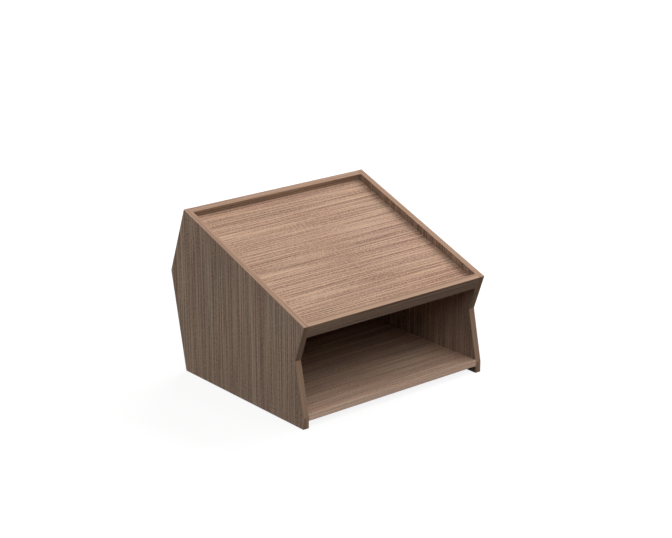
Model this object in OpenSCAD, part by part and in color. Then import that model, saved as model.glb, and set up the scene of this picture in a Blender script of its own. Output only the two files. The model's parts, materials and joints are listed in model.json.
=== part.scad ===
// Desktop book drop box. Two angled side panels stand on the floor and carry a raised shelf, a closed
// back in two leaning panels, a front rail and a sloping top panel. The top panel is sunk between the
// rail, the back and the side panels, so it is the floor of a tray, and the front under the rail is
// an open bay. Every board is laminated particle board, with a thin band on each edge that shows.
// Millimetres. X is the width, Y runs from the open front to the back, and Z is up. The origin is on
// the floor, under the middle of the overall box.

/* [Overall] */
// Width over the two side panels
width = 600; // [460:10:900]
// Depth of a side panel along the floor
base_depth = 500; // [480:5:520]
// Height of the rear top corner
height = 450; // [440:5:470]

/* [Side profile] */
// Slope of the top, and lean of the edges that are square to it
slope_angle = 20; // [17:0.5:21]
// Lean of the lower front and rear edges
lower_lean = 12; // [10:0.5:14]
// Length of the sloping top edge
slope_length = 528; // [516:2:536]
// Length of the front edge from the sloping top down to the recess
front_upper_length = 104; // [90:2:116]
// Height of the bend in the back
back_bend_height = 268; // [240:4:290]

/* [Boards] */
// Thickness of every board
board = 18; // [16:0.5:19]
// Depth of the tray below its rims
tray_depth = 18; // [10:1:24]
// Gap between the floor and the shelf
shelf_gap = 19; // [10:1:40]
// Thickness of the edge bands
band = 1; // [0.6:0.2:2]

/* [Joinery] */
// Diameter of the dowels
dowel_d = 8; // [6:1:8]
// Length of a dowel
dowel_length = 35; // [30:1:40]
// Radial room round a dowel
dowel_fit = 0.05; // [0.02:0.01:0.1]
// Diameter of the cam discs
cam_d = 15; // [12:0.5:15]
// Distance from a board's end to the middle of its cam discs
cam_inset = 34; // [30:1:40]

/* [Hidden] */
$fn = 48;

// Directions in the side view, as [y, z]
up_slope = [cos(slope_angle), sin(slope_angle)];
off_slope = [-sin(slope_angle), cos(slope_angle)];

// Corners of the side profile, measured from the toe, then moved so that the box is centred in Y
rear_bend = [base_depth + back_bend_height * tan(lower_lean), back_bend_height];
rear_top = rear_bend + (height - back_bend_height) / cos(slope_angle) * off_slope;
front_top = rear_top - slope_length * up_slope;
front_recess = front_top - front_upper_length * off_slope;
toe_height = front_recess.y - front_recess.x / tan(lower_lean);
middle = [(front_top.x + rear_bend.x) / 2, 0];
profile = [
    for (corner = [[0, 0], [base_depth, 0], rear_bend, rear_top, front_top, front_recess, [0, toe_height]])
        corner - middle
];
BEND = 2;
EDGES = ["bottom", "back_lower", "back_upper", "top", "front_upper", "front_lower", "toe"];
front_y = profile[0].x;
rear_y = profile[1].x;

// Width between the side panels, and half of it
clear_width = width - 2 * board;
inner_x = clear_width / 2;

// Heights in the frame of the slope, where the rims are at 0
tray_floor = -tray_depth;
rail_height = tray_depth + board;
top_middle = tray_floor - board / 2;
rail_bottom = -rail_height;
shelf_top = shelf_gap + board;
shelf_middle = shelf_gap + board / 2;

// How deep a dowel goes into a board's face and into its end, with a little air past each tip
dowel_in_face = 12;
dowel_in_end = dowel_length - dowel_in_face;
dowel_air = 0.5;
dowel_chamfer = 1;

// Cam disc and the bolt that it pulls
cam_height = 13.5;
cam_air = 0.1;
cam_hollow_r = 5;
cam_head_window = 7;
cam_neck_slot = 4.6;
recess_length = 9;
recess_width = 1.4;
recess_depth = 2.5;
bolt_thread_r = 2.5;
bolt_thread_length = 11;
bolt_shank_r = 3.4;
bolt_bore_r = 4;
bolt_neck_r = 1.9;
bolt_neck_length = 6.5;
bolt_head_r = 3.2;
bolt_head_length = 3;

// Flat beech biscuits in the mitre of the back
biscuit_length = 56;
biscuit_width = 23;
biscuit_thickness = 4;
biscuit_air = 0.2;
biscuit_r = (pow(biscuit_length / 2, 2) + pow(biscuit_width / 2, 2)) / biscuit_width;

// Places of the joints along the boards
shelf_cam_places = [front_y + 60, rear_y - 80];
shelf_dowel_places = [for (place = shelf_cam_places) place + 32 * sign(-place)];
top_cam_places = [board + 64, slope_length - board - 64];
top_dowel_places = [board + 96, slope_length / 2, slope_length - board - 96];
rail_dowel_heights = [-rail_height / 4, -rail_height * 3 / 4];
upper_back_length = norm(rear_top - rear_bend);
upper_back_dowel_heights = [for (part = [0.3, 0.56, 0.82]) -upper_back_length * part];
lower_back_length = norm(rear_bend - [base_depth, 0]);
lower_back_dowel_heights = [for (part = [0.22, 0.52, 0.82]) lower_back_length * part];
long_joint_places = [for (part = [-0.75, -0.25, 0.25, 0.75]) part * inner_x];

laminate = [0.62, 0.51, 0.44];
laminate_light = [0.68, 0.56, 0.49];
edge_tone = [0.66, 0.54, 0.47];
beech = [0.80, 0.66, 0.48];
zinc = [0.66, 0.67, 0.69];
steel = [0.75, 0.76, 0.78];

SIDES = ["left", "right"];
BANDS = [for (side = SIDES) for (edge = EDGES) str(side, "_", edge, "_band")];

// ---------- Geometry of the side view ----------

function unit(v) = v / norm(v);
function left_of(v) = [-v.y, v.x];

// Corner moved inwards by a distance from the two edges that meet in it
function inset_corner(points, i, distance) =
    let (
        count = len(points),
        before = left_of(unit(points[i] - points[(i + count - 1) % count])),
        after = left_of(unit(points[(i + 1) % count] - points[i]))
    )
    points[i] + distance * (before + after) / (1 + before * after);

function inset_outline(points, distance) = [
    for (i = [0 : len(points) - 1]) inset_corner(points, i, distance)
];

// Point in the frame of the slope: distance up the slope from its front corner, height off it
function slope_point(along, off) = profile[4] + along * up_slope + off * off_slope;

// Outer and inner faces of the lower back at a height
function back_outer(z) = [rear_y + z * tan(lower_lean), z];
function back_inner(z) = back_outer(z) - [board / cos(lower_lean), 0];

core_profile = inset_outline(profile, band);
inner_bend = inset_corner(profile, BEND, board);
bend_middle = (profile[BEND] + inner_bend) / 2;
mitre_lean = (slope_angle - lower_lean) / 2;

// ---------- Frames and repeats ----------

// Side-view outline extruded along X
module slab(outline, from_x, to_x) {
    translate([from_x, 0, 0])
        rotate([90, 0, 90])
            linear_extrude(to_x - from_x)
                polygon(outline);
}

// Board between the side panels
module cross_board(outline) {
    slab(outline, -inner_x, inner_x);
}

module both_sides() {
    children();
    mirror([1, 0, 0])
        children();
}

// Y up the slope from its front corner, Z square off it
module slope_frame() {
    translate([0, profile[4].x, profile[4].y])
        rotate([slope_angle, 0, 0])
            children();
}

// Y square out of the lower back, Z up along it from the floor
module lower_back_frame() {
    translate([0, rear_y, 0])
        rotate([-lower_lean, 0, 0])
            children();
}

// Y along the mitre, Z across it
module mitre_frame() {
    translate([0, bend_middle.x, bend_middle.y])
        rotate([mitre_lean, 0, 0])
            children();
}

// ---------- Fittings, each along +X with the joint at 0 ----------

module dowel() {
    radius = dowel_d / 2;
    translate([-dowel_in_end, 0, 0])
        rotate([0, 90, 0])
            rotate_extrude()
                polygon([
                    [0, 0], [radius - dowel_chamfer, 0], [radius, dowel_chamfer],
                    [radius, dowel_length - dowel_chamfer], [radius - dowel_chamfer, dowel_length],
                    [0, dowel_length]
                ]);
}

module dowel_hole() {
    translate([-dowel_in_end - dowel_air, 0, 0])
        rotate([0, 90, 0])
            cylinder(h = dowel_length + 2 * dowel_air, r = dowel_d / 2 + dowel_fit);
}

// Bolt that screws into the side panel and ends in a head inside the cam
module cam_bolt() {
    head_tip = -cam_inset - bolt_head_length / 2;
    neck_start = head_tip + bolt_head_length;
    rotate([0, 90, 0])
        rotate_extrude()
            polygon([
                [0, head_tip], [bolt_head_r, head_tip], [bolt_head_r, neck_start], [bolt_neck_r, neck_start],
                [bolt_neck_r, neck_start + bolt_neck_length], [bolt_shank_r, neck_start + bolt_neck_length],
                [bolt_shank_r, -dowel_air], [bolt_thread_r, 0], [bolt_thread_r, bolt_thread_length - 1],
                [bolt_thread_r - 1, bolt_thread_length], [0, bolt_thread_length]
            ]);
}

module bolt_hole() {
    translate([-cam_inset, 0, 0])
        rotate([0, 90, 0])
            cylinder(h = cam_inset, r = bolt_bore_r);
    rotate([0, 90, 0])
        cylinder(h = bolt_thread_length + dowel_air, r = bolt_thread_r + dowel_fit);
}

// Disc let into the underside of the board, with a way in for the bolt's head on one side and a
// slot for its neck that runs round to the bolt
module cam() {
    translate([-cam_inset, 0, -board / 2])
        difference() {
            cylinder(h = cam_height, r = cam_d / 2 - cam_air);
            translate([0, 0, board / 2 - cam_head_window / 2])
                cylinder(h = cam_head_window, r = cam_hollow_r);
            translate([-cam_head_window / 2, 0, board / 2 - cam_head_window / 2])
                cube([cam_head_window, cam_d, cam_head_window]);
            translate([0, -cam_neck_slot / 2, board / 2 - cam_neck_slot / 2])
                cube([cam_d, cam_d, cam_neck_slot]);
            for (turn = [0, 90])
                rotate([0, 0, turn])
                    translate([-recess_length / 2, -recess_width / 2, -1])
                        cube([recess_length, recess_width, recess_depth + 1]);
        }
}

module cam_bore() {
    translate([-cam_inset, 0, -board / 2 - 1])
        cylinder(h = cam_height + 1 + cam_air, r = cam_d / 2);
}

// Disc that reaches half a biscuit's width past the mitre, up or down: its middle is on the other
// side. A round saw leaves this slot, and a biscuit is where two of them overlap.
module biscuit_disc(reach_up, air) {
    middle_height = biscuit_width / 2 - biscuit_r;
    translate([0, biscuit_thickness / 2 + air, reach_up ? middle_height : -middle_height])
        rotate([90, 0, 0])
            cylinder(h = biscuit_thickness + 2 * air, r = biscuit_r + air);
}

module biscuit() {
    intersection() {
        biscuit_disc(true, 0);
        biscuit_disc(false, 0);
    }
}

// ---------- Places of the fittings, at the right-hand ends of the boards ----------

module at_ends_of_shelf(places) {
    for (y = places)
        translate([inner_x, y, shelf_middle])
            children();
}

module at_ends_of_top(places) {
    slope_frame()
        for (along = places)
            translate([inner_x, along, top_middle])
                children();
}

module at_ends_of_rail() {
    slope_frame()
        for (off = rail_dowel_heights)
            translate([inner_x, board / 2, off])
                children();
}

module at_ends_of_upper_back() {
    slope_frame()
        for (off = upper_back_dowel_heights)
            translate([inner_x, slope_length - board / 2, off])
                children();
}

module at_ends_of_lower_back() {
    lower_back_frame()
        for (up = lower_back_dowel_heights)
            translate([inner_x, -board / 2, up])
                children();
}

// Joint of the top panel's front edge with the rail: the face side points forwards
module along_rail_joint() {
    slope_frame()
        for (x = long_joint_places)
            translate([x, board, top_middle])
                rotate([0, 0, -90])
                    children();
}

// Joint of the top panel's rear edge with the upper back
module along_back_joint() {
    slope_frame()
        for (x = long_joint_places)
            translate([x, slope_length - board, top_middle])
                rotate([0, 0, 90])
                    children();
}

module along_mitre() {
    mitre_frame()
        for (x = long_joint_places)
            translate([x, 0, 0])
                children();
}

// ---------- Boards ----------

module right_side_core() {
    difference() {
        slab(core_profile, inner_x, width / 2);
        at_ends_of_shelf(shelf_dowel_places)
            dowel_hole();
        at_ends_of_shelf(shelf_cam_places)
            bolt_hole();
        at_ends_of_top(top_dowel_places)
            dowel_hole();
        at_ends_of_top(top_cam_places)
            bolt_hole();
        at_ends_of_rail()
            dowel_hole();
        at_ends_of_upper_back()
            dowel_hole();
        at_ends_of_lower_back()
            dowel_hole();
    }
}

module side_panel(side) {
    color(laminate)
        mirror([side == "left" ? 1 : 0, 0, 0])
            right_side_core();
}

module top_panel() {
    color(laminate_light)
        difference() {
            cross_board([
                slope_point(board, tray_floor), slope_point(slope_length - board, tray_floor),
                slope_point(slope_length - board, rail_bottom), slope_point(board, rail_bottom)
            ]);
            both_sides() {
                at_ends_of_top(top_dowel_places)
                    dowel_hole();
                at_ends_of_top(top_cam_places) {
                    bolt_hole();
                    cam_bore();
                }
            }
            along_rail_joint()
                dowel_hole();
            along_back_joint()
                dowel_hole();
        }
}

module front_rail() {
    color(laminate)
        difference() {
            cross_board([
                slope_point(0, rail_bottom + band), slope_point(board, rail_bottom + band),
                slope_point(board, -band), slope_point(0, -band)
            ]);
            both_sides()
                at_ends_of_rail()
                    dowel_hole();
            along_rail_joint()
                dowel_hole();
        }
}

module upper_back_panel() {
    color(laminate)
        difference() {
            cross_board([
                profile[BEND], slope_point(slope_length, -band),
                slope_point(slope_length - board, -band), inner_bend
            ]);
            both_sides()
                at_ends_of_upper_back()
                    dowel_hole();
            along_back_joint()
                dowel_hole();
            along_mitre()
                biscuit_disc(true, biscuit_air);
        }
}

module lower_back_panel() {
    color(laminate)
        difference() {
            cross_board([
                back_outer(shelf_gap + band), profile[BEND],
                inner_bend, back_inner(shelf_gap + band)
            ]);
            both_sides()
                at_ends_of_lower_back()
                    dowel_hole();
            along_mitre()
                biscuit_disc(false, biscuit_air);
        }
}

module shelf_panel() {
    color(laminate)
        difference() {
            cross_board([
                [front_y + band, shelf_gap], back_inner(shelf_gap),
                back_inner(shelf_top), [front_y + band, shelf_top]
            ]);
            both_sides() {
                at_ends_of_shelf(shelf_dowel_places)
                    dowel_hole();
                at_ends_of_shelf(shelf_cam_places) {
                    bolt_hole();
                    cam_bore();
                }
            }
        }
}

// ---------- Edge bands ----------

// Band on one straight edge of a side panel, mitred where it meets its neighbours
module side_band(side, edge) {
    next = (edge + 1) % len(EDGES);
    color(edge_tone)
        mirror([side == "left" ? 1 : 0, 0, 0])
            slab([profile[edge], profile[next], core_profile[next], core_profile[edge]], inner_x, width / 2);
}

module rail_band(off) {
    color(edge_tone)
        cross_board([
            slope_point(0, off), slope_point(board, off),
            slope_point(board, off + band), slope_point(0, off + band)
        ]);
}

module shelf_front_band() {
    color(laminate_light)
        cross_board([
            [front_y, shelf_gap], [front_y + band, shelf_gap],
            [front_y + band, shelf_top], [front_y, shelf_top]
        ]);
}

module back_top_band() {
    color(edge_tone)
        cross_board([
            slope_point(slope_length, -band), slope_point(slope_length, 0),
            slope_point(slope_length - board, 0), slope_point(slope_length - board, -band)
        ]);
}

module back_bottom_band() {
    color(edge_tone)
        cross_board([
            back_outer(shelf_gap), back_outer(shelf_gap + band),
            back_inner(shelf_gap + band), back_inner(shelf_gap)
        ]);
}

// ---------- Fittings in their places ----------

module shelf_dowels() {
    color(beech)
        both_sides()
            at_ends_of_shelf(shelf_dowel_places)
                dowel();
}

module top_panel_dowels() {
    color(beech)
        both_sides()
            at_ends_of_top(top_dowel_places)
                dowel();
}

module rail_dowels() {
    color(beech)
        both_sides()
            at_ends_of_rail()
                dowel();
}

module upper_back_dowels() {
    color(beech)
        both_sides()
            at_ends_of_upper_back()
                dowel();
}

module lower_back_dowels() {
    color(beech)
        both_sides()
            at_ends_of_lower_back()
                dowel();
}

module rail_joint_dowels() {
    color(beech)
        along_rail_joint()
            dowel();
}

module back_joint_dowels() {
    color(beech)
        along_back_joint()
            dowel();
}

module back_mitre_biscuits() {
    color(beech)
        along_mitre()
            biscuit();
}

module shelf_cams() {
    color(zinc)
        both_sides()
            at_ends_of_shelf(shelf_cam_places)
                cam();
}

module shelf_cam_bolts() {
    color(steel)
        both_sides()
            at_ends_of_shelf(shelf_cam_places)
                cam_bolt();
}

module top_panel_cams() {
    color(zinc)
        both_sides()
            at_ends_of_top(top_cam_places)
                cam();
}

module top_panel_cam_bolts() {
    color(steel)
        both_sides()
            at_ends_of_top(top_cam_places)
                cam_bolt();
}

for (side = SIDES) {
    side_panel(side);
    for (edge = [0 : len(EDGES) - 1])
        side_band(side, edge);
}
top_panel();
front_rail();
upper_back_panel();
lower_back_panel();
shelf_panel();
rail_band(-band);  // rail_top_band
rail_band(rail_bottom);  // rail_bottom_band
shelf_front_band();
back_top_band();
back_bottom_band();
shelf_dowels();
top_panel_dowels();
rail_dowels();
upper_back_dowels();
lower_back_dowels();
rail_joint_dowels();
back_joint_dowels();
back_mitre_biscuits();
shelf_cams();
shelf_cam_bolts();
top_panel_cams();
top_panel_cam_bolts();
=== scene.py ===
"""Desktop book drop box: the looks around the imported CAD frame. Metres, +Z up, the open front faces -Y."""

import json
import math

import bmesh
import bpy
from mathutils import Matrix, Vector


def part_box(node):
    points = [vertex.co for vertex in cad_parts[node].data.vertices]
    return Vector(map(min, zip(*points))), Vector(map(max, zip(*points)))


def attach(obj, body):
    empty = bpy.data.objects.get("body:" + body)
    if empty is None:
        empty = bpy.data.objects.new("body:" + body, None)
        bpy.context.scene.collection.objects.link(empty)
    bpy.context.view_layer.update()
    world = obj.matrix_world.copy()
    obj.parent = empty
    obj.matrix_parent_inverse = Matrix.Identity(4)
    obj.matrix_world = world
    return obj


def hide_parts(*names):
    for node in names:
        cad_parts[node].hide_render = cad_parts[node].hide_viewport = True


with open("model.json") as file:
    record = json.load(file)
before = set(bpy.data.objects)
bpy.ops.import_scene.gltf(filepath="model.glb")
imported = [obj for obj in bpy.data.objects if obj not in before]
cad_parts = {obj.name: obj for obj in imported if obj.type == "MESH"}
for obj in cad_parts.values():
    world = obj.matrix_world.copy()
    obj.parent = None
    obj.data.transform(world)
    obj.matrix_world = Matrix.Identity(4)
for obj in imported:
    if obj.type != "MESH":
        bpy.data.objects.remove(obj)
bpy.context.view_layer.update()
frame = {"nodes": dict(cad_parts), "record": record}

NODES = frame["nodes"]
SLOTS = {part["node"]: part["material_slot"] for part in frame["record"]["subparts"]}
SIDES = ("left", "right")
ACROSS = Vector((1.0, 0.0, 0.0))
UPWARD = Vector((0.0, 0.0, 1.0))

# ---------- Sizes ----------

ARRIS = 0.0009  # radius along the outer corners of an edge band
ARRIS_STEPS = 4
ZINC_CHAMFER = 0.0002
CHAMFER_STEPS = 2
SHARP_CORNER = math.radians(50)  # only corners sharper than this are chamfered
SAME_POINT = 1e-6  # points nearer than this are one point
SAME_PLANE = 0.02  # faces that meet at less than this, in radians, are one face

# ---------- Laminate: scales are features per metre along the grain, across it, and off the face ----------

WALNUT = (0.470, 0.303, 0.208)  # mean tone of the laminate, linear
MIDDLE = 0.5  # mean of every noise
NOISE_RANGE = (0.3, 0.7)  # where most of it lies

LAMINATE_IOR = 1.45
LAMINATE_GLOSS = 0.07
# How far the lines wander sideways, and the scale of it
WANDERING = ((0.005, (1.8, 5.0, 5.0)), (0.0008, (12.0, 40.0, 20.0)))
# Layers of the printed grain: scale along and across, octaves, share of the tone's swing
GRAIN_LAYERS = (
    (0.6, 9.0, 1.0, 0.48),
    (0.3, 24.0, 1.0, 0.08),
    (0.35, 60.0, 1.0, 0.06),
    (0.7, 120.0, 1.0, 0.15),
    (30.0, 1000.0, 1.0, 0.80),
)
# Mottling between the streaks, as above
MOTTLE_LAYERS = ((110.0, 35.0, 1.0, 0.12), (160.0, 320.0, 1.0, 1.75))
GRAIN_ROUGHNESS = 0.6
# Fine pale lines on a darker ground: scale along and across, share
LINE_LAYERS = ((1.2, 300.0, 0.10), (3.0, 620.0, 1.08))
LINE_RANGE = (0.30, 0.72)  # the noise that makes the ground, and that makes the palest line
LINE_POWER = 2.5
LINE_MEAN = 0.28
# Tones of the print from its darkest to its palest: place on the ramp, gain, redder
PRINT_TONES = (
    (0.0, 0.58, 0.06),
    (0.3, 0.81, 0.02),
    (0.5, 0.98, 0.01),
    (0.7, 1.20, -0.02),
    (1.0, 1.60, -0.08),
)
# Patches of cooler and of pinker tone: scale, where noise starts and ends, strength, tint
TINT_PATCHES = (
    ((3.0, 13.0, 6.0), 0.40, 0.68, 0.9, (0.955, 1.0, 1.035)),
    ((2.2, 16.0, 9.0), 0.48, 0.70, 0.8, (1.01, 0.965, 1.02)),
)
LINE_TINT = (0.6, (1.04, 1.0, 0.95))  # strength and tint of the fine lines, warmer than the ground
# Long pale lines: scale along and across, where noise starts and ends, strength
PALE_LINES = ((1.6, 150.0, 0.67, 0.71, 0.55), (2.4, 310.0, 0.63, 0.68, 0.70))
PALE_TONE = (1.62, -0.05)
PORE_NOISE = ((45.0, 1400.0, 300.0), 1.0, 0.4)  # scale, octaves, roughness
PORE_RANGE = (0.62, 0.74)
PORE_STRENGTH = 0.22
PORE_TONE = (0.50, 0.05)
PORE_DULLNESS = 0.12
SMUDGE_NOISE = ((14.0, 17.0, 14.0), 3.0, 0.6)
SMUDGE_ROUGHNESS = (0.60, 0.72)
PRINT_HEIGHT = 0.5  # of the print, where a pore is 1 deep
LAMINATE_RELIEF = (0.35, 0.00012)  # strength, depth

# Board: grain direction, where in the print it starts, tone (gain, redder, bluer), contrast, mottling
BOARDS = {
    "left_side_panel": (UPWARD, (0.31, 0.12, 0.0), (0.99, -0.07, 0.09), 0.84, 0.9),
    # The right side panel is printed darker and cooler than the left: painted shade on its inner walls in the
    # bay and at the tray.
    "right_side_panel": (UPWARD, (1.84, 0.67, 0.0), (0.90, -0.09, 0.11), 0.9, 0.8),
    "top_panel": (ACROSS, (1.3, 0.27, 0.0), (0.912, 0.02, 0.025), 0.97, 1.2),
    "front_rail": (ACROSS, (2.1, 0.0, 0.9), (0.97, -0.05, 0.06), 0.60, 0.5),
    "upper_back_panel": (ACROSS, (4.4, 0.0, 0.5), (0.80, -0.05, 0.05), 0.80, 0.5),
    "lower_back_panel": (ACROSS, (6.2, 0.0, 0.3), (0.90, 0.0, 0.0), 0.80, 0.5),
    # The shelf is printed lighter and a little cooler than the other boards: painted light on it deep in the
    # bay.
    "shelf_panel": (ACROSS, (7.7, 0.4, 0.0), (1.11, -0.025, 0.06), 0.60, 0.8),
}

# ---------- Edge bands ----------

BAND_IOR = 1.45
BAND_GLOSS = 0.08
BAND_WANDERING = (0.0015, (5.0, 60.0, 60.0))
BAND_STREAKS = ((1.2, 160.0, 40.0), 2.0, 0.5)  # scale, octaves, roughness
BAND_LINES = ((6.0, 900.0, 90.0), 2.0, 0.6)
STREAK_SHARE, BAND_LINE_SHARE = 1.7, 1.3
BAND_TONES = ((0.0, 0.68, 0.08), (0.5, 1.0, 0.0), (1.0, 1.34, -0.04))  # as PRINT_TONES
BAND_PORES = ((80.0, 2200.0, 300.0), 1.0, 0.4)
BAND_PORE_RANGE = (0.66, 0.74)
BAND_PORE_STRENGTH = 0.3
BAND_PORE_GAIN = 0.5
BAND_SMUDGES = ((20.0, 60.0, 20.0), 3.0)
BAND_ROUGHNESS = (0.58, 0.70)
BAND_LINE_HEIGHT = 0.4  # where a pore is 1 deep
BAND_RELIEF = (0.25, 0.00008)

# Tones of the strips' faces; the shelf's strip is much paler than the rest
PLAIN_STRIP = (0.93,)
STRIP_TONES = {
    # The right rim's top strip is printed darker: painted shade where the key light from the right falls on
    # it.
    "right_top_band": (0.82, 0.03, -0.03),
    "rail_top_band": (1.01,),
    "back_top_band": (0.95,),
}
SHELF_STRIP = (0.95, 0.655, 0.485)
SHELF_STRIP_CONTRAST = 0.3
SHELF_ARRIS_PAINTED_SHADE = 0.70  # painted shade: the shelf's strip is darker on its rounded corners, against the highlight they catch
ARRIS_PAINTED_HIGHLIGHT = 1.22  # painted highlight: the other strips are a little paler on their rounded corners
# Strips with a darker rear part: where it starts and ends, from the front of the strip to its back
DARKER_REAR = {"rail_top_band": (0.45, 0.75), "back_top_band": (0.80, 1.0)}
REAR_SHADE = 0.84
# From one strip to the next, the print starts this much further on
STRIP_SHIFT = (0.37, 0.013, 0.0)

BOARD_OF = {
    "rail_top_band": "front_rail",
    "rail_bottom_band": "front_rail",
    "shelf_front_band": "shelf_panel",
    "back_top_band": "upper_back_panel",
    "back_bottom_band": "lower_back_panel",
}
for side in SIDES:
    for node in NODES:
        if node.startswith(side) and node.endswith("_band"):
            BOARD_OF[node] = side + "_side_panel"

# ---------- Light, floor and camera ----------

WHITE = (1.0, 1.0, 1.0)
ROOM_HALF, ROOM_HEIGHT = 30.0, 15.0
PAPER_GREY = 0.20
# How bright the paper is near the unit and far off, and the distances where it starts and stops changing
PAPER_NEAR, PAPER_FAR = 0.88, 1.05
NEAR_END, FAR_START = 0.5, 4.0
SKY, GROUND = 0.06, 0.01  # even light from above the horizon, and from below it
HORIZON = 0.02
LIGHT_AIM = Vector((0.0, 0.0, 0.25))
# Softbox: azimuth, elevation, distance, width, height, what it lays on a face turned to it, colour
SOFTBOXES = {
    "key": (16.0, 41.0, 10.0, 11.2, 5.8, 3.28, (1.0, 0.96, 0.955)),
    "left_fill": (225.0, 40.0, 9.0, 6.2, 5.0, 0.52, WHITE),
    "front_fill": (296.0, 40.0, 9.0, 9.7, 5.0, 0.80, WHITE),
    "top_fill": (275.0, 72.0, 9.0, 5.0, 5.0, 0.48, WHITE),
    "rear_fill": (142.0, 7.0, 9.0, 6.2, 2.0, 0.80, WHITE),
}
CAMERA_PLACE = (-2.7941, -3.4358, 1.7955)
CAMERA_DOWN = 18.897  # degrees below the horizon
CAMERA_TURN = -39.425  # degrees from +Y
CAMERA_LENS = 95.854
CAMERA_REACH = 200.0

# ---------- Shader helpers ----------


class Shader:
    """A material under construction, with one short call for each kind of node."""

    def __init__(self, name, roughness=0.5, metallic=0.0, ior=1.48):
        self.material = bpy.data.materials.new(name)
        self.material.use_nodes = True
        self.tree = self.material.node_tree
        self.surface = self.tree.nodes["Principled BSDF"]
        self.set("Roughness", roughness)
        self.set("Metallic", metallic)
        self.set("IOR", ior)

    def node(self, kind, **inputs):
        made = self.tree.nodes.new(kind)
        for name, value in inputs.items():
            self.put(made.inputs[name.replace("_", " ")], value)
        return made

    def put(self, socket, value):
        if isinstance(value, bpy.types.NodeSocket):
            self.tree.links.new(value, socket)
        else:
            socket.default_value = value

    def set(self, name, value):
        self.put(self.surface.inputs[name], value)

    def math(self, operation, a, b, clamp=False):
        made = self.tree.nodes.new("ShaderNodeMath")
        made.operation = operation
        made.use_clamp = clamp
        self.put(made.inputs[0], a)
        self.put(made.inputs[1], b)
        return made.outputs[0]

    def place(self):
        return self.node("ShaderNodeTexCoord").outputs["Object"]

    def turned(self, rotation, shift):
        """Object coordinates turned so that X runs along the grain and Y across it."""
        turn = self.node("ShaderNodeMapping", Vector=self.place(), Rotation=rotation, Location=shift)
        return turn.outputs["Vector"]

    def noise(self, place, scale, detail=2.0, roughness=0.5, flat=False):
        """Noise whose features are 1/scale long on each axis; flat noise is the same at any Z."""
        stretched = self.node("ShaderNodeMapping", Vector=place, Scale=scale).outputs["Vector"]
        made = self.node("ShaderNodeTexNoise", Vector=stretched, Scale=1.0)
        made.noise_dimensions = "2D" if flat else "3D"
        made.inputs["Detail"].default_value = detail
        made.inputs["Roughness"].default_value = roughness
        return made.outputs["Fac"]

    def swing(self, noise, share):
        """Noise as a swing about nought, share times as large."""
        return self.math("MULTIPLY", self.math("SUBTRACT", noise, MIDDLE), share)

    def bent(self, place, amount, scale):
        """The same place, moved across the grain by slow noise, so that the lines wander."""
        drift = self.swing(self.noise(place, scale, 1.0), amount)
        added = self.tree.nodes.new("ShaderNodeVectorMath")
        self.put(added.inputs[0], place)
        self.put(added.inputs[1], self.node("ShaderNodeCombineXYZ", Y=drift).outputs[0])
        return added.outputs[0]

    def remap(self, value, low, high, to_low=0.0, to_high=1.0, smooth=True):
        made = self.node("ShaderNodeMapRange", Value=value)
        made.interpolation_type = "SMOOTHSTEP" if smooth else "LINEAR"
        for name, number in (("From Min", low), ("From Max", high), ("To Min", to_low), ("To Max", to_high)):
            made.inputs[name].default_value = number
        return made.outputs[0]

    def ramp(self, value, stops):
        made = self.node("ShaderNodeValToRGB", Fac=value)
        elements = made.color_ramp.elements
        while len(elements) < len(stops):
            elements.new(0.5)
        for element, (position, colour) in zip(elements, stops):
            element.position = position
            element.color = (*colour, 1.0)
        return made.outputs["Color"]

    def mix(self, mask, strength, colour, other, blend="MIX"):
        """Colour with the other one laid over it, strength times as much as the mask says."""
        made = self.tree.nodes.new("ShaderNodeMix")
        made.data_type = "RGBA"
        made.blend_type = blend
        self.put(made.inputs["Factor"], self.math("MULTIPLY", mask, strength))
        self.put(made.inputs["A"], colour)
        self.put(made.inputs["B"], (*other, 1.0))
        return made.outputs["Result"]

    def bump(self, height, strength, distance):
        made = self.node("ShaderNodeBump", Height=height, Strength=strength, Distance=distance)
        self.set("Normal", made.outputs["Normal"])


def tinted(colour, gain, redder=0.0, bluer=0.0):
    """Colour made lighter by gain, with its red and its blue shifted by the given shares."""
    red, green, blue = colour
    return (red * gain * (1 + redder), green * gain, blue * gain * (1 + bluer))


def tone_stops(tone, stops):
    return [(position, tinted(tone, gain, redder)) for position, gain, redder in stops]


# ---------- Materials ----------


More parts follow.
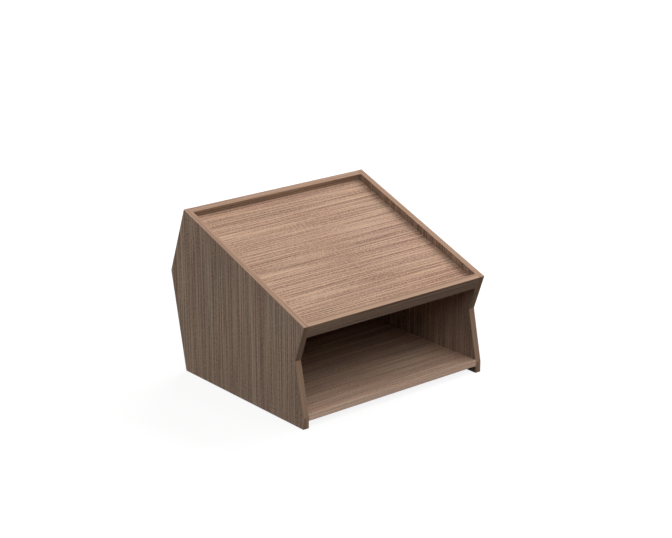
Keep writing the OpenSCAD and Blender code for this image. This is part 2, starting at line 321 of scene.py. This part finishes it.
def laminate(name, rotation, shift, tone, contrast, mottle=0.5):
    """Printed wood-grain laminate: slow bands, mottling, fine lines, long pale lines and short dark pores."""
    s = Shader(name, ior=LAMINATE_IOR)
    s.set("Specular IOR Level", LAMINATE_GLOSS)
    place = s.turned(rotation, shift)
    for amount, scale in WANDERING:
        place = s.bent(place, amount, scale)

    layers = [(*layer, contrast) for layer in GRAIN_LAYERS]
    layers += [(*layer, contrast * mottle) for layer in MOTTLE_LAYERS]
    value = MIDDLE
    for along, across, octaves, share, weight in layers:
        layer = s.noise(place, (along, across, 1.0), octaves, GRAIN_ROUGHNESS, flat=True)
        value = s.math("ADD", value, s.swing(layer, share * weight))
    for along, across, share in LINE_LAYERS:
        line = s.remap(s.noise(place, (along, across, 1.0), 0.0, flat=True), *LINE_RANGE, smooth=False)
        rise = s.math("SUBTRACT", s.math("POWER", line, LINE_POWER), LINE_MEAN)
        value = s.math("ADD", value, s.math("MULTIPLY", rise, share * contrast))

    colour = s.ramp(value, tone_stops(tone, PRINT_TONES))
    for scale, low, high, strength, tint in TINT_PATCHES:
        colour = s.mix(s.remap(s.noise(place, scale), low, high), strength, colour, tint, "MULTIPLY")
    line_strength, line_tint = LINE_TINT
    colour = s.mix(line, line_strength, colour, line_tint, "MULTIPLY")
    for along, across, low, high, strength in PALE_LINES:
        pale = s.remap(s.noise(place, (along, across, 1.0), 0.0, flat=True), low, high)
        colour = s.mix(pale, strength * contrast, colour, tinted(tone, *PALE_TONE))
    pores = s.remap(s.noise(place, *PORE_NOISE), *PORE_RANGE)
    s.set("Base Color", s.mix(pores, PORE_STRENGTH, colour, tinted(tone, *PORE_TONE)))

    smudges = s.remap(s.noise(place, *SMUDGE_NOISE), *NOISE_RANGE, *SMUDGE_ROUGHNESS)
    s.set("Roughness", s.math("ADD", smudges, s.math("MULTIPLY", pores, PORE_DULLNESS)))
    s.bump(s.math("SUBTRACT", s.math("MULTIPLY", value, PRINT_HEIGHT), pores), *LAMINATE_RELIEF)
    return s.material


def edge_strip(name, rotation, shift, tone, darker=None):
    """Thin plastic edge band, printed with fine straight lines; darker is where it darkens along Y."""
    s = Shader(name, ior=BAND_IOR)
    s.set("Specular IOR Level", BAND_GLOSS)
    place = s.bent(s.turned(rotation, shift), *BAND_WANDERING)
    streaks = s.noise(place, *BAND_STREAKS)
    lines = s.noise(place, *BAND_LINES)
    value = s.math("ADD", s.swing(streaks, STREAK_SHARE), s.swing(lines, BAND_LINE_SHARE))
    colour = s.ramp(s.math("ADD", value, MIDDLE, clamp=True), tone_stops(tone, BAND_TONES))
    if darker:
        y = s.node("ShaderNodeSeparateXYZ", Vector=s.place()).outputs["Y"]
        colour = s.mix(s.remap(y, *darker), 1.0, colour, (REAR_SHADE, REAR_SHADE, REAR_SHADE), "MULTIPLY")
    pores = s.remap(s.noise(place, *BAND_PORES), *BAND_PORE_RANGE)
    s.set("Base Color", s.mix(pores, BAND_PORE_STRENGTH, colour, tinted(tone, BAND_PORE_GAIN)))
    s.set("Roughness", s.remap(s.noise(place, *BAND_SMUDGES), *NOISE_RANGE, *BAND_ROUGHNESS))
    s.bump(s.math("SUBTRACT", s.math("MULTIPLY", lines, BAND_LINE_HEIGHT), pores), *BAND_RELIEF)
    return s.material


def beech(name):
    """Plain beech with short ray flecks, for dowels and biscuits."""
    s = Shader(name, roughness=0.6)
    rings = s.noise(s.place(), (12.0, 320.0, 320.0), detail=3.0, roughness=0.55)
    wood = ((0.25, (0.42, 0.27, 0.13)), (0.55, (0.60, 0.42, 0.23)), (0.8, (0.70, 0.52, 0.31)))
    flecks = s.remap(s.noise(s.place(), (420.0, 2600.0, 900.0), detail=1.0), 0.62, 0.72)
    fleck_strength, fleck_brown = 0.6, (0.30, 0.17, 0.08)
    s.set("Base Color", s.mix(flecks, fleck_strength, s.ramp(rings, wood), fleck_brown))
    s.bump(rings, strength=0.3, distance=0.0002)
    return s.material


def cast_zinc(name):
    """Die-cast zinc: a faint orange-peel skin with dull patches."""
    s = Shader(name, metallic=1.0)
    peel = s.noise(s.place(), (900.0, 900.0, 900.0), detail=3.0, roughness=0.6)
    patches = s.noise(s.place(), (180.0, 180.0, 180.0))
    s.set("Base Color", s.ramp(patches, [(0.3, (0.36, 0.37, 0.38)), (0.7, (0.52, 0.53, 0.55))]))
    s.set("Roughness", s.remap(patches, *NOISE_RANGE, to_low=0.36, to_high=0.5))
    s.bump(peel, strength=0.25, distance=0.0001)
    return s.material


def plated_steel(name):
    """Zinc-plated steel with turning marks round the shank."""
    s = Shader(name, metallic=1.0)
    turning = s.noise(s.place(), (3500.0, 60.0, 60.0))
    s.set("Base Color", s.ramp(turning, [(0.3, (0.50, 0.52, 0.55)), (0.7, (0.68, 0.69, 0.71))]))
    s.set("Roughness", s.remap(turning, *NOISE_RANGE, to_low=0.24, to_high=0.38))
    s.bump(turning, strength=0.3, distance=0.00005)
    return s.material


# ---------- Boards: CAD nodes with laminate on them ----------


def grain_turn(along, normal):
    """Rotation that takes the grain's direction to X and the face's normal to Z."""
    across = normal.cross(along).normalized()
    return Matrix((along.normalized(), across, normal.normalized())).to_euler()


def broadest_normal(node):
    """Normal of the largest face of a CAD board."""
    return max(NODES[node].data.polygons, key=lambda face: face.area).normal.copy()


def dress(node, material):
    mesh = NODES[node].data
    mesh.materials.clear()
    mesh.materials.append(material)


for board, (along, shift, tone, contrast, mottle) in BOARDS.items():
    turn = grain_turn(along, broadest_normal(board))
    dress(board, laminate(board + "_laminate", turn, shift, tinted(WALNUT, *tone), contrast, mottle))

# ---------- Edge bands: a rounded strip stands for each CAD band ----------


def plain_faces(node):
    """The node's mesh with its doubled points joined and each flat face in one piece."""
    made = bmesh.new()
    made.from_mesh(NODES[node].data)
    bmesh.ops.remove_doubles(made, verts=made.verts, dist=SAME_POINT)
    bmesh.ops.dissolve_limit(made, angle_limit=SAME_PLANE, verts=made.verts, edges=made.edges)
    made.normal_update()
    return made


def outer_face(strip, board):
    """The strip's broad face that looks away from its board."""
    low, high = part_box(board)
    middle = (low + high) / 2
    broad = sorted(strip.faces, key=lambda face: face.calc_area())[-2:]
    return max(broad, key=lambda face: face.normal.dot(face.calc_center_median() - middle))


def rounded_strip(node):
    """Edge band with its two long outer corners rounded, in place of the CAD node; also its grain's turn."""
    strip = plain_faces(node)
    outer = outer_face(strip, BOARD_OF[node])
    long_edges = sorted(outer.edges, key=lambda edge: edge.calc_length())[-2:]
    turn = grain_turn(long_edges[0].verts[1].co - long_edges[0].verts[0].co, outer.normal)
    bmesh.ops.bevel(
        strip, geom=long_edges, offset=ARRIS, segments=ARRIS_STEPS, profile=0.5, affect="EDGES", material=1
    )
    for face in strip.faces:
        face.smooth = True
    mesh = bpy.data.meshes.new(node.replace("_band", "_strip"))
    strip.to_mesh(mesh)
    strip.free()
    piece = bpy.data.objects.new(mesh.name, mesh)
    bpy.context.scene.collection.objects.link(piece)
    piece.modifiers.new("even_shading", "WEIGHTED_NORMAL").keep_sharp = True
    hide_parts(node)
    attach(piece, "root")
    return piece, turn


def darker_span(node):
    """Y where the strip starts to darken and Y where it is darkest, if it darkens."""
    if node not in DARKER_REAR:
        return None
    low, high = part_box(node)
    return tuple(low.y + part * (high.y - low.y) for part in DARKER_REAR[node])


for number, node in enumerate(sorted(BOARD_OF)):
    piece, turn = rounded_strip(node)
    shift = tuple(step * number for step in STRIP_SHIFT)
    face_name, arris_name = piece.name + "_print", piece.name + "_arris"
    if node == "shelf_front_band":
        # The shelf strip's rounded corners are printed darker: painted shade against their highlight.
        shelf_arris_shaded_tone = tinted(SHELF_STRIP, SHELF_ARRIS_PAINTED_SHADE)
        prints = (
            laminate(face_name, turn, shift, SHELF_STRIP, SHELF_STRIP_CONTRAST),
            laminate(arris_name, turn, shift, shelf_arris_shaded_tone, SHELF_STRIP_CONTRAST),
        )
    else:
        tone = tinted(WALNUT, *STRIP_TONES.get(node, PLAIN_STRIP))
        prints = (
            edge_strip(face_name, turn, shift, tone, darker_span(node)),
            # These rounded corners are printed paler: a painted highlight.
            edge_strip(arris_name, turn, shift, tinted(tone, ARRIS_PAINTED_HIGHLIGHT), darker_span(node)),
        )
    for material in prints:
        piece.data.materials.append(material)

# ---------- Fittings ----------


def soften(node, width):
    """Small chamfers on a CAD fitting."""
    joined = NODES[node].modifiers.new("joined", "WELD")
    joined.merge_threshold = SAME_POINT
    edges = NODES[node].modifiers.new("chamfers", "BEVEL")
    edges.width = width
    edges.segments = CHAMFER_STEPS
    edges.limit_method = "ANGLE"
    edges.angle_limit = SHARP_CORNER


FINISHES = {
    "beech": beech("beech_grain"),
    "zinc": cast_zinc("cast_zinc"),
    "steel": plated_steel("plated_steel"),
}
for node, slot in SLOTS.items():
    if slot in FINISHES:
        dress(node, FINISHES[slot])
    if slot == "zinc":
        soften(node, ZINC_CHAMFER)

# ---------- Stage ----------


def paper():
    """Pale paper, evenly white far off and a little greyer where the unit shades it."""
    s = Shader("pale_paper", roughness=0.9)
    s.set("Base Color", (PAPER_GREY, PAPER_GREY, PAPER_GREY, 1.0))
    s.set("Specular IOR Level", 0.0)
    s.set("Emission Color", (*WHITE, 1.0))
    away = s.tree.nodes.new("ShaderNodeVectorMath")
    away.operation = "LENGTH"
    s.put(away.inputs[0], s.place())
    s.set("Emission Strength", s.remap(away.outputs["Value"], NEAR_END, FAR_START, PAPER_NEAR, PAPER_FAR))
    return s.material


def staged(name, corners, faces, material):
    """Stage piece that is seen but throws no light back on the unit."""
    mesh = bpy.data.meshes.new(name)
    mesh.from_pydata(corners, [], faces)
    mesh.materials.append(material)
    piece = bpy.data.objects.new(name, mesh)
    bpy.context.scene.collection.objects.link(piece)
    piece.visible_diffuse = False
    piece.visible_glossy = False
    return piece


def studio_room():
    """The floor, and walls of the same paper far beyond the lights."""
    plan = [(x * ROOM_HALF, y * ROOM_HALF) for x, y in ((-1, -1), (1, -1), (1, 1), (-1, 1))]
    low = [(x, y, 0.0) for x, y in plan]
    high = [(x, y, ROOM_HEIGHT) for x, y in plan]
    white = paper()
    staged("floor", low, [(0, 1, 2, 3)], white)
    walls = [(n, (n + 1) % 4, (n + 1) % 4 + 4, n + 4) for n in range(4)]
    staged("backdrop", low + high, walls, white).visible_shadow = False


def sky():
    """A little even light from above the horizon, and next to none from below it."""
    world = bpy.data.worlds.new("studio")
    bpy.context.scene.world = world
    world.use_nodes = True
    tree = world.node_tree
    split = tree.nodes.new("ShaderNodeSeparateXYZ")
    tree.links.new(tree.nodes.new("ShaderNodeTexCoord").outputs["Generated"], split.inputs[0])
    rise = tree.nodes.new("ShaderNodeMapRange")
    for name, number in (("From Min", -HORIZON), ("From Max", HORIZON), ("To Min", GROUND), ("To Max", SKY)):
        rise.inputs[name].default_value = number
    tree.links.new(split.outputs["Z"], rise.inputs["Value"])
    background = tree.nodes["Background"]
    tree.links.new(rise.outputs[0], background.inputs["Strength"])
    background.inputs["Color"].default_value = (*WHITE, 1.0)


def softbox(name, azimuth, elevation, distance, width, height, light, colour):
    """Rectangular light that faces the unit and isn't seen."""
    data = bpy.data.lights.new(name, "AREA")
    data.shape = "RECTANGLE"
    data.size = width
    data.size_y = height
    data.energy = light * math.pi * distance**2
    data.color = colour
    lamp = bpy.data.objects.new(name, data)
    bpy.context.scene.collection.objects.link(lamp)
    around, up = math.radians(azimuth), math.radians(elevation)
    away = Vector((math.cos(up) * math.cos(around), math.cos(up) * math.sin(around), math.sin(up)))
    lamp.location = away * distance + LIGHT_AIM
    lamp.rotation_euler = (math.pi / 2 - up, 0.0, around + math.pi / 2)
    lamp.visible_camera = False


def camera():
    data = bpy.data.cameras.new("camera")
    data.lens = CAMERA_LENS
    data.clip_end = CAMERA_REACH
    seat = bpy.data.objects.new("camera", data)
    bpy.context.scene.collection.objects.link(seat)
    seat.location = CAMERA_PLACE
    seat.rotation_euler = (math.radians(90 - CAMERA_DOWN), 0.0, math.radians(CAMERA_TURN))
    bpy.context.scene.camera = seat


studio_room()
sky()
for name, setting in SOFTBOXES.items():
    softbox(name, *setting)
camera()
bpy.context.scene.view_settings.view_transform = "Standard"
